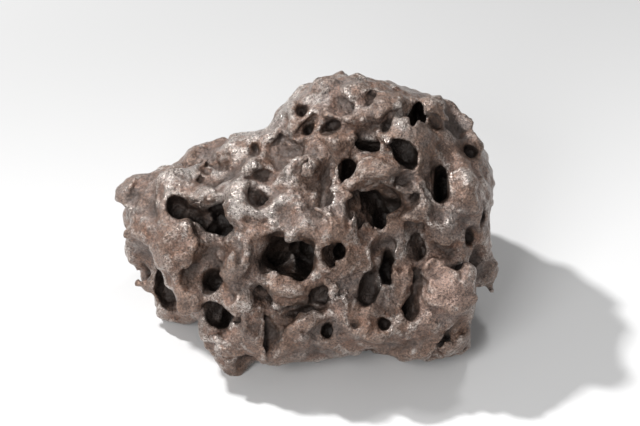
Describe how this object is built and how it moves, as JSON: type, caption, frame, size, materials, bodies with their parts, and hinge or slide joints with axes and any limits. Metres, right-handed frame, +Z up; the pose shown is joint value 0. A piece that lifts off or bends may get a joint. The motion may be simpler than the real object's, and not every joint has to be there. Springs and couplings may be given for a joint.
{
  "type": "iron meteorite",
  "caption": "Free-standing lump of nickel-iron, wedge-shaped and blunt at one end, scalloped all over and eaten by deep rounded holes.",
  "frame": {"origin": "on the surface it rests on, under the middle of its bounding box", "axes": "+Z up as it rests, +X along its length towards its tall end, and the broad pitted side leans back facing -Y and up"},
  "size_m": [0.3048, 0.2173, 0.1947],
  "materials": {
    "iron_crust": "dark brown oxide crust with rust-brown patches, worn to bare grey metal on its ridges, and nearly black in its holes"
  },
  "bodies": {
    "root": {"meteorite": "iron_crust"}
  },
  "joints": []
}
